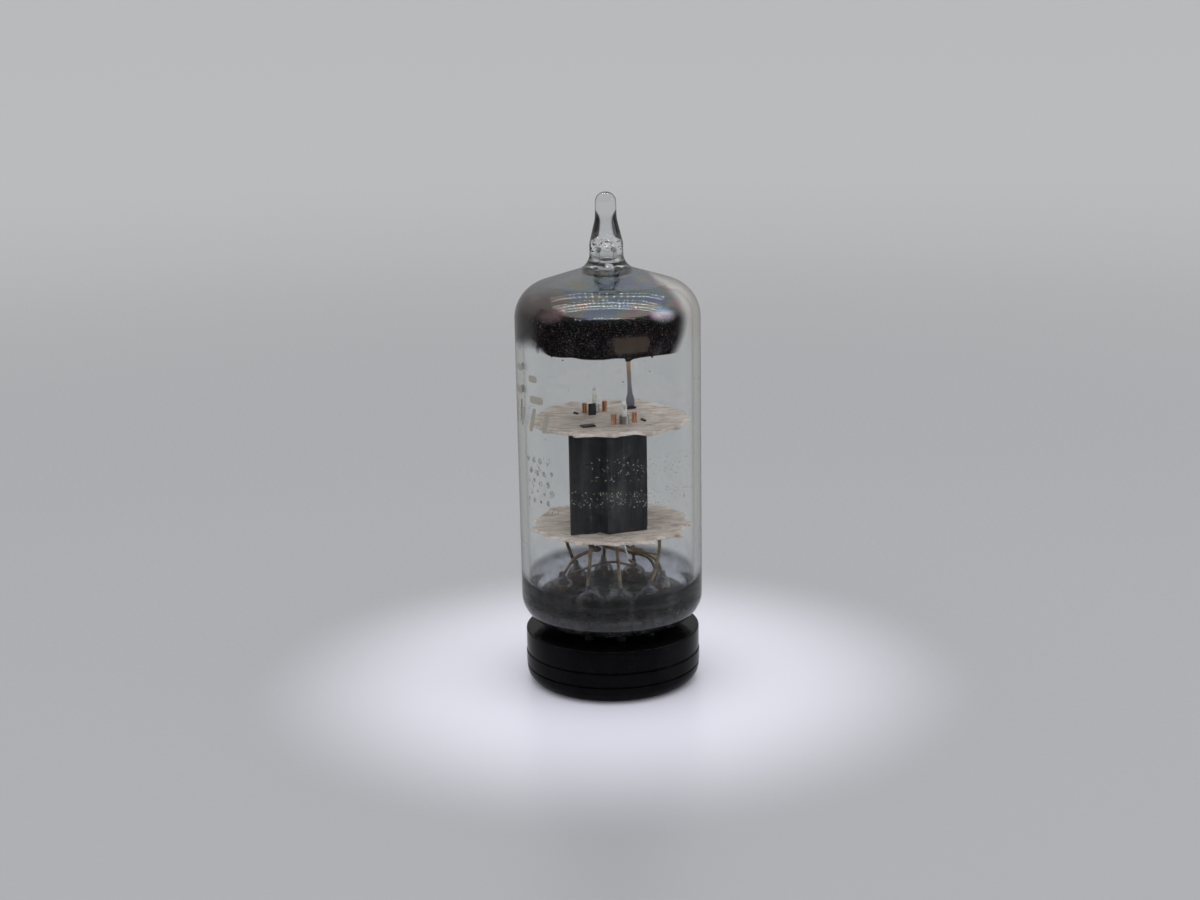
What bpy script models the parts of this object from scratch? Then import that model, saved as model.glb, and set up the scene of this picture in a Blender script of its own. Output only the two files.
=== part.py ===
"""A nine-pin miniature twin-triode vacuum tube, standing with its pins in a round black pin guard.

Z runs up the axis of the bulb and z = 0 is the surface that the guard stands on. -Y is the front.
Dimensions are in millimetres and become metres where a mesh or a curve is made.
The two triodes are the same unit, turned half a turn about Z: "front" has side +1 and "rear" side -1.
"""

import math

import bmesh
import bpy
from mathutils import Matrix, Vector

MM = 0.001
SEGMENTS = 36

# Pin guard
GUARD_R = 10.0
GUARD_BAND_R = 10.05
GUARD_HEIGHT = 6.3
GUARD_EDGE = 1.7
GUARD_GROOVES = (3.67, 2.03)
GROOVE_WIDTH, GROOVE_DEPTH = 0.22, 0.2
GUARD_FLOOR = 0.4
GUARD_HOLE_R = 0.65

# Nine-pin base
PIN_COUNT = 9
PIN_CIRCLE_R = 5.94
PIN_R = 0.508
PIN_BOTTOM, PIN_TOP = 0.5, 9.0
FIRST_PIN_DEG, PIN_STEP_DEG = -27.0, 36.0
FIT = 0.04

# Bulb
BULB_R = 10.4
WALL = 0.85
BUTTON_BOTTOM = 7.3
BUTTON_TOP = 10.0
BUTTON_R = 7.4
HEEL_RADIUS = 3.0
SHOULDER_Z = 45.48
SHOULDER_RADIUS = 4.3
CROWN_SLOPE = math.radians(17)
NECK_R, NECK_TOP = 1.87, 48.55
BORE_R = 0.8
TIP_TOP = 56.2
MENISCUS_TOP = 12.6
BEAD_R, BEAD_TOP = 1.2, 11.8

# Electrode cage
CAGE_TURN = math.radians(22)
MICA_R, MICA_TOOTH_R = 8.9, 9.45
MICA_THICK = 0.3
MICA_TEETH = 14
LOWER_MICA_Z, UPPER_MICA_Z = 18.35, 30.55
UNIT_N = 3.5
UNIT_T = 0.35
ROD_R, ROD_SPREAD = 0.3, 1.25
ROD_BOTTOM, ROD_TOP = 17.5, 32.0
CATHODE_R, CATHODE_WALL = 0.55, 0.11
CATHODE_BOTTOM, CATHODE_TOP = 17.7, 31.7
PLATE_N = 3.6
BOX_OUTER, BOX_INNER = 1.4, 1.6
PLATE_SHEET = 0.16
PLATE_GAP = 0.04
PLATE_WING_T = -6.2
PLATE_TABS = ((-3.9, 1.5), (2.75, 0.3))
TAB_DROP, TAB_FOLD = 0.85, 0.75
STAY_T, STAY_WIDTH, STAY_RISE = 1.3, 0.9, 1.35
GRID_TURNS, GRID_WIRE_R = 10, 0.06
GRID_HALF_T, GRID_HALF_N = 1.8, 0.85
HEATER_R = 0.1
LEAD_R = 0.2
STRAP_R = 0.12

# Getter
FILM_THICK = 0.05
FILM_BOTTOM = 38.0
FILM_HOLE_R = 1.5
GETTER_CENTRE = (2.0, 4.3, 38.95)
STRUT_FOOT = (2.6, 5.6, 30.95)


def clear_scene():
    for obj in list(bpy.data.objects):
        bpy.data.objects.remove(obj, do_unlink=True)


def material(name, colour, roughness, metallic=0.0, transmission=0.0):
    mat = bpy.data.materials.new(name)
    mat.use_nodes = True
    shader = mat.node_tree.nodes["Principled BSDF"]
    shader.inputs["Base Color"].default_value = (*colour, 1.0)
    shader.inputs["Roughness"].default_value = roughness
    shader.inputs["Metallic"].default_value = metallic
    shader.inputs["Transmission Weight"].default_value = transmission
    return mat


# Objects


def add_object(name, data, mat, parent, place=(0, 0, 0)):
    obj = bpy.data.objects.new(name, data)
    bpy.context.collection.objects.link(obj)
    obj.parent = parent
    obj.location = Vector(place) * MM
    if mat:
        data.materials.append(mat)
    return obj


def mesh_from(name, bm):
    """Closes the bmesh into a mesh that faces outwards and is smooth but for its edges."""
    bmesh.ops.recalc_face_normals(bm, faces=bm.faces)
    mesh = bpy.data.meshes.new(name)
    bm.to_mesh(mesh)
    bm.free()
    mesh.shade_smooth()
    mesh.set_sharp_from_angle(angle=math.radians(35))
    return mesh


def cut_or_join(target, name, bm, operation):
    """Gives target a Boolean with a hidden helper made from bm."""
    helper = add_object(name, mesh_from(name, bm), None, target.parent)
    helper.hide_render = True
    helper.display_type = "WIRE"
    boolean = target.modifiers.new(name, "BOOLEAN")
    boolean.operation = operation
    boolean.solver = "EXACT"
    boolean.object = helper


# Outlines and bodies


def rounded(corners, step=math.radians(19)):
    """The outline through corners (r, z, fillet radius), with each fillet as an arc."""
    outline = [Vector(corners[0][:2])]
    for before, (r, z, radius), after in zip(corners, corners[1:], corners[2:]):
        corner = Vector((r, z))
        if not radius:
            outline.append(corner)
            continue
        back = (Vector(before[:2]) - corner).normalized()
        ahead = (Vector(after[:2]) - corner).normalized()
        half = back.angle(ahead) / 2
        centre = corner + (back + ahead).normalized() * (radius / math.sin(half))
        start = corner + back * (radius / math.tan(half))
        turn = math.pi - 2 * half
        sign = 1 if ahead.cross(back) > 0 else -1
        count = math.ceil(turn / step)
        for k in range(count + 1):
            spin = Matrix.Rotation(sign * turn * k / count, 2)
            outline.append(centre + spin @ (start - centre))
    outline.append(Vector(corners[-1][:2]))
    return outline


def add_turned(bm, outline, segments=SEGMENTS, closed=False, at=(0, 0)):
    """Turns an outline (r, z) about the upright line at (x, y). An open one ends on that line."""
    rings = []
    for r, z in outline:
        angles = [0.0] if r < 1e-6 else [math.tau * k / segments for k in range(segments)]
        rings.append(
            [
                bm.verts.new(Vector((at[0] + r * math.cos(a), at[1] + r * math.sin(a), z)) * MM)
                for a in angles
            ]
        )
    pairs = list(zip(rings, rings[1:]))
    if closed:
        pairs.append((rings[-1], rings[0]))
    for one, other in pairs:
        for k in range(segments):
            ahead = (k + 1) % segments
            corners = [one[k % len(one)], other[k % len(other)]]
            if len(other) > 1:
                corners.append(other[ahead])
            if len(one) > 1:
                corners.append(one[ahead])
            bm.faces.new(corners)


def add_prism(bm, outline, bottom, top):
    """Adds an upright prism on an outline (x, y)."""
    lower = [bm.verts.new(Vector((x, y, bottom)) * MM) for x, y in outline]
    upper = [bm.verts.new(Vector((x, y, top)) * MM) for x, y in outline]
    bm.faces.new(lower)
    bm.faces.new(upper)
    for k in range(len(outline)):
        ahead = (k + 1) % len(outline)
        bm.faces.new((lower[k], lower[ahead], upper[ahead], upper[k]))


def circle(centre, radius, sides):
    return [
        (
            centre[0] + radius * math.cos(math.tau * k / sides),
            centre[1] + radius * math.sin(math.tau * k / sides),
        )
        for k in range(sides)
    ]


def turned_object(name, outline, mat, parent, segments=SEGMENTS, closed=False, at=(0, 0)):
    bm = bmesh.new()
    add_turned(bm, outline, segments, closed)
    return add_object(name, mesh_from(name, bm), mat, parent, (*at, 0))


def wire(name, points, radius, mat, parent, resolution=1):
    """A round wire along points, as a curve with a bevel and closed ends."""
    curve = bpy.data.curves.new(name, "CURVE")
    curve.dimensions = "3D"
    curve.bevel_depth = radius * MM
    curve.bevel_resolution = resolution
    curve.use_fill_caps = True
    spline = curve.splines.new("POLY")
    spline.points.add(len(points) - 1)
    for knot, point in zip(spline.points, points):
        knot.co = (*(Vector(point) * MM), 1)
    return add_object(name, curve, mat, parent)


def smooth_route(points, steps=3):
    """Points along a smooth curve through the given ones."""
    knots = [Vector(p) for p in points]
    padded = [2 * knots[0] - knots[1], *knots, 2 * knots[-1] - knots[-2]]
    route = []
    for a, b, c, d in zip(padded, padded[1:], padded[2:], padded[3:]):
        for k in range(steps):
            u = k / steps
            route.append(
                0.5
                * (
                    2 * b
                    + (c - a) * u
                    + (2 * a - 5 * b + 4 * c - d) * u**2
                    + (3 * b - a - 3 * c + d) * u**3
                )
            )
    return [*route, knots[-1]]


# Places


def pin_place(number):
    """Pin 1 is left of the front, and the numbers run anticlockwise seen from above."""
    angle = math.radians(FIRST_PIN_DEG + (number - 1) * PIN_STEP_DEG)
    return PIN_CIRCLE_R * math.sin(angle), -PIN_CIRCLE_R * math.cos(angle)


def cage_point(side, t, n):
    """A point of a triode unit: t along its plate's width, n outwards from the bulb's axis."""
    x = n * math.sin(CAGE_TURN) + t * math.cos(CAGE_TURN)
    y = -n * math.cos(CAGE_TURN) + t * math.sin(CAGE_TURN)
    return side * x, side * y


def turned_by_side(side, points):
    return [(side * x, side * y, z) for x, y, z in points]


def dome_corner(inset):
    """The corner between wall and crown, on the surface that lies inset inside the bulb's outside."""
    drop = inset * math.tan((math.pi / 2 - CROWN_SLOPE) / 2)
    return BULB_R - inset, SHOULDER_Z - drop, SHOULDER_RADIUS - inset


def crown_height(r, inset):
    corner_r, corner_z, _ = dome_corner(inset)
    return corner_z + (corner_r - r) * math.tan(CROWN_SLOPE)


def rod_points(side):
    return [cage_point(side, UNIT_T + t, UNIT_N) for t in (-ROD_SPREAD, ROD_SPREAD)]


# Pin guard and pins


def make_guard(mat):
    side = [(GUARD_R, GUARD_HEIGHT, 0.25)]
    for groove, above, below in (
        (GUARD_GROOVES[0], GUARD_R, GUARD_BAND_R),
        (GUARD_GROOVES[1], GUARD_BAND_R, GUARD_R),
    ):
        side.append((above, groove + GROOVE_WIDTH / 2, 0))
        side.append((GUARD_R - GROOVE_DEPTH, groove, 0))
        side.append((below, groove - GROOVE_WIDTH / 2, 0))
    corners = [(0, GUARD_HEIGHT, 0), *side, (GUARD_R, 0, GUARD_EDGE), (0, 0, 0)]
    guard = turned_object("pin_guard", rounded(corners), mat, None)
    bm = bmesh.new()
    for number in range(1, PIN_COUNT + 1):
        add_prism(bm, circle(pin_place(number), GUARD_HOLE_R, 10), GUARD_FLOOR, GUARD_HEIGHT + 1)
    cut_or_join(guard, "pin_holes", bm, "DIFFERENCE")


def make_pins(mat, tube):
    outline = [(0, PIN_TOP), (PIN_R, PIN_TOP), (PIN_R, PIN_BOTTOM + 0.4)]
    outline += [(PIN_R * 0.6, PIN_BOTTOM), (0, PIN_BOTTOM)]
    for number in range(1, PIN_COUNT + 1):
        turned_object(f"pin_{number}", outline, mat, tube, segments=10, at=pin_place(number))


# Glass


def make_envelope(mat, tube):
    outer = rounded(
        [
            (BUTTON_R, BUTTON_BOTTOM, 0),
            (BULB_R, BUTTON_BOTTOM, HEEL_RADIUS),
            dome_corner(0),
            (NECK_R, crown_height(NECK_R, 0), 0.55),
            (NECK_R, NECK_TOP, 0),
        ]
    )
    inner = rounded(
        [
            (BORE_R, NECK_TOP, 0),
            (BORE_R, crown_height(BORE_R, WALL), 0.3),
            dome_corner(WALL),
            (BULB_R - WALL, BUTTON_BOTTOM + WALL, HEEL_RADIUS - WALL),
            (BUTTON_R, BUTTON_BOTTOM + WALL, 0),
        ]
    )
    turned_object("glass_envelope", outer + inner, mat, tube, closed=True)


def make_tip(mat, tube):
    corners = [
        (0, TIP_TOP, 0),
        (1.15, TIP_TOP, 1.1),
        (1.2, 53.3, 4),
        (NECK_R, 50.6, 2),
        (NECK_R, NECK_TOP + FIT, 0),
        (BORE_R, NECK_TOP + FIT, 0),
        (BORE_R, 50.7, 0.5),
        (0, 50.9, 0),
    ]
    turned_object("exhaust_tip", rounded(corners), mat, tube, segments=20)


def make_button(mat, tube):
    seat = FIT + 0.01
    corners = [
        (0, BUTTON_TOP, 0),
        (9.0, BUTTON_TOP, 1.4),
        (BULB_R - WALL - 0.13, MENISCUS_TOP, 0),
        (BULB_R - WALL - seat, MENISCUS_TOP, 0),
        (BULB_R - WALL - seat, BUTTON_BOTTOM + WALL + seat, HEEL_RADIUS - WALL - seat),
        (BUTTON_R - seat, BUTTON_BOTTOM + WALL + seat, 0),
        (BUTTON_R - seat, BUTTON_BOTTOM, 0),
        (0, BUTTON_BOTTOM, 0),
    ]
    button = turned_object("button_stem", rounded(corners), mat, tube)
    bead = [(0, BEAD_TOP), (0.45, BEAD_TOP - 0.1), (0.85, BEAD_TOP - 0.7)]
    bead += [(1.1, BEAD_TOP - 1.3), (BEAD_R, BUTTON_TOP - 0.4), (0, BUTTON_TOP - 0.4)]
    seal = [(0, BEAD_TOP + 1), (LEAD_R + FIT, BEAD_TOP + 1), (LEAD_R + FIT, PIN_TOP + FIT)]
    seal += [(PIN_R + FIT, PIN_TOP + FIT), (PIN_R + FIT, BUTTON_BOTTOM - 1), (0, BUTTON_BOTTOM - 1)]
    beads, seals = bmesh.new(), bmesh.new()
    for number in range(1, PIN_COUNT + 1):
        add_turned(beads, bead, segments=10, at=pin_place(number))
        add_turned(seals, seal, segments=10, at=pin_place(number))
    cut_or_join(button, "beads", beads, "UNION")
    cut_or_join(button, "seals", seals, "DIFFERENCE")


# Electrode cage


def mica_outline():
    """A disc with small square teeth that grip the bulb, slightly scalloped between them."""
    pitch = math.tau / MICA_TEETH
    first = math.radians(-87)
    shape = [(-0.5, MICA_R - 0.08), (-0.15, MICA_R), (-0.1, MICA_TOOTH_R)]
    shape += [(0.1, MICA_TOOTH_R), (0.15, MICA_R)]
    outline = []
    for tooth in range(MICA_TEETH):
        for share, radius in shape:
            angle = first + (tooth + share) * pitch
            outline.append((radius * math.cos(angle), radius * math.sin(angle)))
    return outline


def block_outline(side, t, width, near, far):
    """A rectangle of that width about t, from near to far outwards."""
    low, high = t - width / 2, t + width / 2
    return [cage_point(side, *p) for p in ((low, near), (high, near), (high, far), (low, far))]


def tab_outline(side, t, width, gap):
    """The section of a plate's tab, or of its slot with a gap all round."""
    near = PLATE_N + PLATE_GAP / 2
    return block_outline(side, t, width + 2 * gap, near - gap, near + PLATE_SHEET + gap)


def stay_outline(gap):
    """The same for the upright tab on the rear plate's inner face."""
    near = PLATE_N - BOX_INNER
    return block_outline(-1, STAY_T, STAY_WIDTH + 2 * gap, near - PLATE_SHEET - gap, near + gap)


def make_mica(name, bottom, mat, tube):
    bm = bmesh.new()
    add_prism(bm, mica_outline(), bottom, bottom + MICA_THICK)
    mica = add_object(name, mesh_from(name, bm), mat, tube)
    holes = bmesh.new()
    for side in (1, -1):
        for place in rod_points(side):
            add_prism(holes, circle(place, ROD_R + FIT, 8), bottom - 1, bottom + 1)
        cathode = cage_point(side, UNIT_T, UNIT_N)
        add_prism(holes, circle(cathode, CATHODE_R + FIT, 12), bottom - 1, bottom + 1)
        for t, width in PLATE_TABS:
            add_prism(holes, tab_outline(side, t, width, FIT), bottom - 1, bottom + 1)
    if bottom == UPPER_MICA_Z:
        add_prism(holes, stay_outline(FIT), bottom - 1, bottom + 1)
    cut_or_join(mica, name + "_holes", holes, "DIFFERENCE")


def sheet_outline(path, thickness):
    """The section of a bent sheet: its inner side along path, its outer side to the left of it."""
    points = [Vector(p) for p in path]
    runs = [(b - a).normalized() for a, b in zip(points, points[1:])]
    outer = []
    for k, point in enumerate(points):
        before, after = runs[max(k - 1, 0)], runs[min(k, len(runs) - 1)]
        middle = (before + after).normalized()
        out = Vector((-middle.y, middle.x))
        outer.append(point + out * (thickness / max(middle.dot(before), 0.3)))
    return [*points, *reversed(outer)]


def make_plate(name, side, outward, depth, mat, tube):
    """Half of a plate box, with a flat wing on one side and a narrow flange on the other."""
    base = PLATE_N + outward * PLATE_GAP / 2
    face = PLATE_N + outward * depth
    path = [(PLATE_WING_T, base), (-2.7, base), (-2.3, face), (2.1, face), (2.5, base), (2.9, base)]
    if outward < 0:
        path.reverse()
    section = [cage_point(side, *p) for p in sheet_outline(path, PLATE_SHEET)]
    bm = bmesh.new()
    low, high = LOWER_MICA_Z + MICA_THICK + 0.1, UPPER_MICA_Z - 0.1
    add_prism(bm, section, low, high)
    plate = add_object(name, mesh_from(name, bm), mat, tube)
    mica_top = UPPER_MICA_Z + MICA_THICK
    if outward > 0:
        tabs, folds = bmesh.new(), bmesh.new()
        for t, width in PLATE_TABS:
            outline = tab_outline(side, t, width, -0.01)
            add_prism(tabs, outline, LOWER_MICA_Z - TAB_DROP, low + 0.5)
            add_prism(tabs, outline, high - 0.5, mica_top + FIT + 0.8 * PLATE_SHEET)
            near = PLATE_N + PLATE_GAP / 2
            fold = block_outline(side, t, width, near - TAB_FOLD, near + PLATE_SHEET)
            add_prism(folds, fold, mica_top + FIT, mica_top + FIT + PLATE_SHEET)
        cut_or_join(plate, name + "_tabs", tabs, "UNION")
        cut_or_join(plate, name + "_folds", folds, "UNION")
    elif side < 0:
        stay = bmesh.new()
        add_prism(stay, stay_outline(-0.01), high - 0.5, mica_top + STAY_RISE)
        cut_or_join(plate, name + "_stay", stay, "UNION")


def make_grid(label, side, rod_mat, wire_mat, tube):
    for count, place in enumerate(rod_points(side), 1):
        bm = bmesh.new()
        add_prism(bm, circle(place, ROD_R, 8), ROD_BOTTOM, ROD_TOP)
        name = f"grid_rod_{label}_{count}"
        add_object(name, mesh_from(name, bm), rod_mat, tube)
    low, high = LOWER_MICA_Z + 1.2, UPPER_MICA_Z - 0.9
    steps = 12
    turns = []
    for k in range(GRID_TURNS * steps + 1):
        angle = math.tau * k / steps
        t = UNIT_T + GRID_HALF_T * math.cos(angle)
        n = UNIT_N + GRID_HALF_N * math.sin(angle)
        turns.append((*cage_point(side, t, n), low + (high - low) * k / (GRID_TURNS * steps)))
    wire(f"grid_winding_{label}", turns, GRID_WIRE_R, wire_mat, tube, resolution=0)


def make_cathode(label, side, sleeve_mat, heater_mat, strap_mat, tube):
    r, inside = CATHODE_R, CATHODE_R - CATHODE_WALL
    outline = [(r, CATHODE_TOP), (r, CATHODE_BOTTOM)]
    outline += [(inside, CATHODE_BOTTOM), (inside, CATHODE_TOP)]
    place = cage_point(side, UNIT_T, UNIT_N)
    turned_object(f"cathode_{label}", outline, sleeve_mat, tube, 12, True, place)

    def leg(t, z):
        return (*cage_point(side, UNIT_T + t, UNIT_N), z)

    apex = CATHODE_TOP + (1.3 if side > 0 else 1.6)
    heater = [leg(0.7, 16.6), leg(0.2, 17.4), leg(0.2, apex - 0.4), leg(0, apex)]
    heater += [leg(-0.2, apex - 0.4), leg(-0.2, 17.4), *turned_by_side(side, [(1.9, -2.5, 15.0)])]
    wire(f"heater_{label}", heater, HEATER_R, heater_mat, tube)
    strap = [(5.08, -3.05, 15.5), (3.5, -3.3, 15.9), (2.2, -3.55, 16.4)]
    strap += [(1.64, -3.6, 17.0), (1.64, -3.45, 17.6)]
    route = smooth_route(turned_by_side(side, strap))
    wire(f"cathode_strap_{label}", route, STRAP_R, strap_mat, tube)


def make_leads(mat, tube):
    """Leads 1 to 3 serve the front unit's plate, grid and cathode, and 6 to 8 the rear unit's."""
    tops = {
        1: [(-2.66, -5.22, 13.0), (-2.25, -4.92, 17.4)],
        2: [(0.9, -5.7, 12.4), (0.72, -4.9, 15.2), (0.5, -3.7, 17.4)],
        3: [(4.3, -4.1, 12.2), (4.95, -3.55, 14.2), (5.36, -3.05, 16.0), (5.36, -2.95, 18.2)],
    }
    routes = {}
    for number, top in tops.items():
        routes[number] = top
        routes[number + 5] = turned_by_side(-1, top)
    routes[4] = [(5.82, -0.98, 12.4), (5.1, -1.35, 14.3), (3.6, -2.2, 15.6), (2.42, -2.8, 16.3)]
    routes[5] = [(5.22, 2.68, 12.0), (4.2, 2.4, 13.6), (1.5, 1.9, 14.5), (-0.8, 1.7, 15.2)]
    routes[5] += [(-1.95, 2.1, 15.9), (-2.3, 2.72, 16.35)]
    routes[9] = [(-5.68, 1.02, 12.0), (-4.2, 1.7, 13.8), (-1.9, 2.4, 14.65)]
    for number in range(1, PIN_COUNT + 1):
        x, y = pin_place(number)
        straight = [(x, y, PIN_TOP + FIT + 0.02), (x, y, BEAD_TOP + 0.05)]
        route = smooth_route([straight[1], *routes[number]])
        wire(f"lead_{number}", [straight[0], *route], LEAD_R, mat, tube)


def make_heater_link(mat, tube):
    """The wire that ties both heaters' middle ends to pin 9."""
    route = [(-5.1, 1.0, 12.1), (-3.3, 1.1, 12.6), (-1.2, 1.3, 13.2), (0.4, 1.2, 13.4)]
    route += [(2.1, 0.5, 13.2), (2.7, -1.0, 13.8), (2.0, -2.35, 14.7)]
    wire("heater_link", smooth_route(route), STRAP_R, mat, tube)


# Getter


def make_getter(metal, film_mat, tube):
    x, y, z = GETTER_CENTRE
    half_length, half_height, depth, sheet = 2.1, 0.85, 0.55, 0.15
    section = [(0, -half_height), (depth, -half_height), (depth, sheet - half_height)]
    section += [(sheet, sheet - half_height), (sheet, half_height - sheet)]
    section += [(depth, half_height - sheet), (depth, half_height), (0, half_height)]
    bm = bmesh.new()
    add_prism(bm, section, -half_length, half_length)
    turn = Matrix(((0, 0, 1), (1, 0, 0), (0, 1, 0))).to_4x4()
    bmesh.ops.transform(bm, matrix=turn, verts=bm.verts)
    add_object("getter_channel", mesh_from("getter_channel", bm), metal, tube, (x, y, z))
    strut_top = (x + 0.3, y + 0.3, z - half_height - 0.3)
    wire("getter_strut", [STRUT_FOOT, strut_top], 0.22, metal, tube)

    gap = WALL + FIT + 0.01
    films = []
    for inset in (gap, gap + FILM_THICK):
        wall_r = BULB_R - inset
        rim = (FILM_HOLE_R, crown_height(FILM_HOLE_R, inset), 0)
        films.append(rounded([(wall_r, FILM_BOTTOM, 0), dome_corner(inset), rim]))
    turned_object("getter_film", films[0] + films[1][::-1], film_mat, tube, closed=True)


def main():
    clear_scene()
    tube = bpy.data.objects.new("tube_axis", None)
    bpy.context.collection.objects.link(tube)

    glass = material("clear_glass", (0.9, 0.93, 0.92), 0.03, transmission=1.0)
    black = material("black_plastic", (0.012, 0.012, 0.013), 0.25)
    nickel = material("nickel", (0.6, 0.58, 0.55), 0.35, metallic=1.0)
    lead_wire = material("lead_wire", (0.3, 0.22, 0.16), 0.45, metallic=0.9)
    copper = material("copper", (0.65, 0.36, 0.22), 0.35, metallic=1.0)
    mica = material("mica", (0.78, 0.73, 0.67), 0.6)
    plate = material("plate_black", (0.03, 0.032, 0.04), 0.55, metallic=0.4)
    coated = material("heater_coating", (0.75, 0.74, 0.72), 0.8)
    film = material("getter_mirror", (0.12, 0.11, 0.12), 0.08, metallic=1.0)

    make_guard(black)
    make_pins(nickel, tube)
    make_envelope(glass, tube)
    make_tip(glass, tube)
    make_button(glass, tube)
    make_mica("lower_mica", LOWER_MICA_Z, mica, tube)
    make_mica("upper_mica", UPPER_MICA_Z, mica, tube)
    for label, side in (("front", 1), ("rear", -1)):
        make_plate(f"plate_{label}_outer", side, 1, BOX_OUTER, plate, tube)
        make_plate(f"plate_{label}_inner", side, -1, BOX_INNER, plate, tube)
        make_grid(label, side, copper, nickel, tube)
        make_cathode(label, side, nickel, coated, lead_wire, tube)
    make_leads(lead_wire, tube)
    make_heater_link(lead_wire, tube)
    make_getter(copper, film, tube)


main()
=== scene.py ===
import random
from math import ceil, cos, exp, pi, radians, sin, tan, tau

import bmesh
import bpy
from mathutils import Matrix, Vector, noise


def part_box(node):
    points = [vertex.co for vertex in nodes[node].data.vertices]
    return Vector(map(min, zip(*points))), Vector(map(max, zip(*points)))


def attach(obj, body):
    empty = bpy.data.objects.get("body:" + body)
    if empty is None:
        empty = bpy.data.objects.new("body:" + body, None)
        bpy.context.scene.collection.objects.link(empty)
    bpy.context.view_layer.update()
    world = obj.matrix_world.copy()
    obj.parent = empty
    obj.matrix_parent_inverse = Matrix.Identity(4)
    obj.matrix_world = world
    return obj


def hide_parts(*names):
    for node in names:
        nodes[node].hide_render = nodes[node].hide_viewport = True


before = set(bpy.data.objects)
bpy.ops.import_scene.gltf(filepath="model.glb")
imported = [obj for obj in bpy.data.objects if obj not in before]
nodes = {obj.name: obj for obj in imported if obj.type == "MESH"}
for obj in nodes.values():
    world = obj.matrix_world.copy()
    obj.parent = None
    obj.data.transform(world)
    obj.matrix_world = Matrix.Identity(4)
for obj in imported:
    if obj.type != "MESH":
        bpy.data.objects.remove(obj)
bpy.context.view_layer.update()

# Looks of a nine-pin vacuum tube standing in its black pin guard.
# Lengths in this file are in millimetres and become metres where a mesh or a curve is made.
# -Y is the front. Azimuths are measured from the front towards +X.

MM = 0.001
ROUND = 128

# Shapes that repeat the CAD's
WALL = 0.85
CROWN_SLOPE = radians(17)
SHOULDER_Z, SHOULDER_RADIUS = 45.48, 4.3
HEEL_RADIUS = 3.0
NECK_R, BORE_R = 1.87, 0.8
BUTTON_TOP, MENISCUS_TOP = 10.0, 12.6
GAP = 0.05

# Shapes that only this file has
GUARD_GROOVES, PIN_HOLE_R = (3.67, 2.03), 0.65
MICA_R, MICA_TEETH = 8.88, 14

# Looks. A fade is the pair of places where it starts and where it is full.
GLASS_TINT = (0.97, 0.985, 0.98)
# Heights over which the stem glass's painted shade fades out
BASE_SHADE_FADE = (12.4, 13.6)
# The sealed tip has its strongest painted shade at the rims of its waist, and is lumpy at the knob below it
WAIST_SHADE_START, WAIST_SHADE_END = (50.9, 51.7), (54.4, 52.9)
KNOB_START, KNOB_END = (49.6, 50.2), (51.7, 51.1)
# The flash is painted dark below its shoulder, as a painted reflection of the light box's dark open front; it
# has a see-through patch, and ends near this height
DARK_REFLECTION_BAND = (43.8, 42.9)
PATCH_LEFT, PATCH_RIGHT, PATCH_LOW, PATCH_HIGH = (0.7, 1.5), (5.3, 4.5), (39.6, 40.1), (42.0, 41.3)
FLASH_END = 38.75
# Directions of two soft glints in the shoulders of the flash
RIGHT_SPOT, LEFT_SPOT = (0.92, -0.17, 0.35), (-0.93, -0.14, 0.33)

# The stage: radii of the near floor, of the fade of the painted pool of light and of the dish round them
NEAR_FLOOR_R, PAINTED_POOL_FADE = 60, (15, 44)
DISH_R, DISH_BEND, DISH_TOP = 1200, 900, 1500
CAMERA_PLACE, CAMERA_LENS = (-1.1, -199.2, 75.2), 54.1
CAMERA_DOWN, CAMERA_ROLL = radians(13.6), radians(-1.05)


# ---- places read from the frame


def box_mm(node):
    low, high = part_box(node)
    return low / MM, high / MM


def middle(node):
    low, high = box_mm(node)
    return (low + high) / 2


def radius_of(node):
    low, high = box_mm(node)
    return (high.x - low.x) / 2


BULB_LOW, BULB_HIGH = box_mm("glass_envelope")
BULB_R = BULB_HIGH.x
PIN_PLACES = [middle(f"pin_{number}").xy for number in range(1, 10)]
ROD_R = radius_of("grid_rod_front_1")
UNITS = (("front", 1), ("rear", -1))
ALONG = (middle("grid_rod_front_2") - middle("grid_rod_front_1")).xy.normalized()
OUTWARD = Vector((ALONG.y, -ALONG.x))
LOWER_MICA_TOP = box_mm("lower_mica")[1].z
UPPER_MICA_TOP = box_mm("upper_mica")[1].z
PLATE_FACE_N = 3.78


def cage(side, t, n, z):
    """t runs along a plate's width, n outwards from the axis, on the front (1) or rear (-1) unit."""
    place = side * (ALONG * t + OUTWARD * n)
    return Vector((place.x, place.y, z))


def round_place(azimuth, radius, z):
    return Vector((radius * sin(azimuth), -radius * cos(azimuth), z))


# ---- node helpers


def new_material(name):
    mat = bpy.data.materials.new(name)
    mat.use_nodes = True
    tree = mat.node_tree
    return mat, tree, tree.nodes["Principled BSDF"], tree.nodes["Material Output"]


def add(tree, kind, settings=None, inputs=None):
    """A new node with its settings and its inputs, which are values or other nodes' outputs."""
    made = tree.nodes.new("ShaderNode" + kind)
    for key, value in (settings or {}).items():
        setattr(made, key, value)
    for key, value in (inputs or {}).items():
        give(made.inputs[key], value)
    return made


def give(socket, value):
    """Links the socket to another node's output, or sets it to a constant."""
    if isinstance(value, bpy.types.NodeSocket):
        socket.id_data.links.new(value, socket)
    else:
        socket.default_value = value


def put(shader, name, value):
    give(shader.inputs[name], value)


def mm_place(tree, stretch=(1, 1, 1)):
    """The place on the piece, in millimetres, stretched along an axis where that is under 1."""
    place = add(tree, "TexCoord").outputs["Object"]
    scale = tuple(s / MM for s in stretch)
    return add(tree, "Mapping", inputs={"Vector": place, "Scale": scale}).outputs[0]


def axes_of(tree, place):
    return add(tree, "SeparateXYZ", inputs={0: place}).outputs


def noise_at(tree, place, scale, detail=4.0, rough=0.55, distortion=0.0):
    values = {"Vector": place, "Scale": scale, "Detail": detail}
    values.update({"Roughness": rough, "Distortion": distortion})
    return add(tree, "TexNoise", inputs=values).outputs[0]


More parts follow.
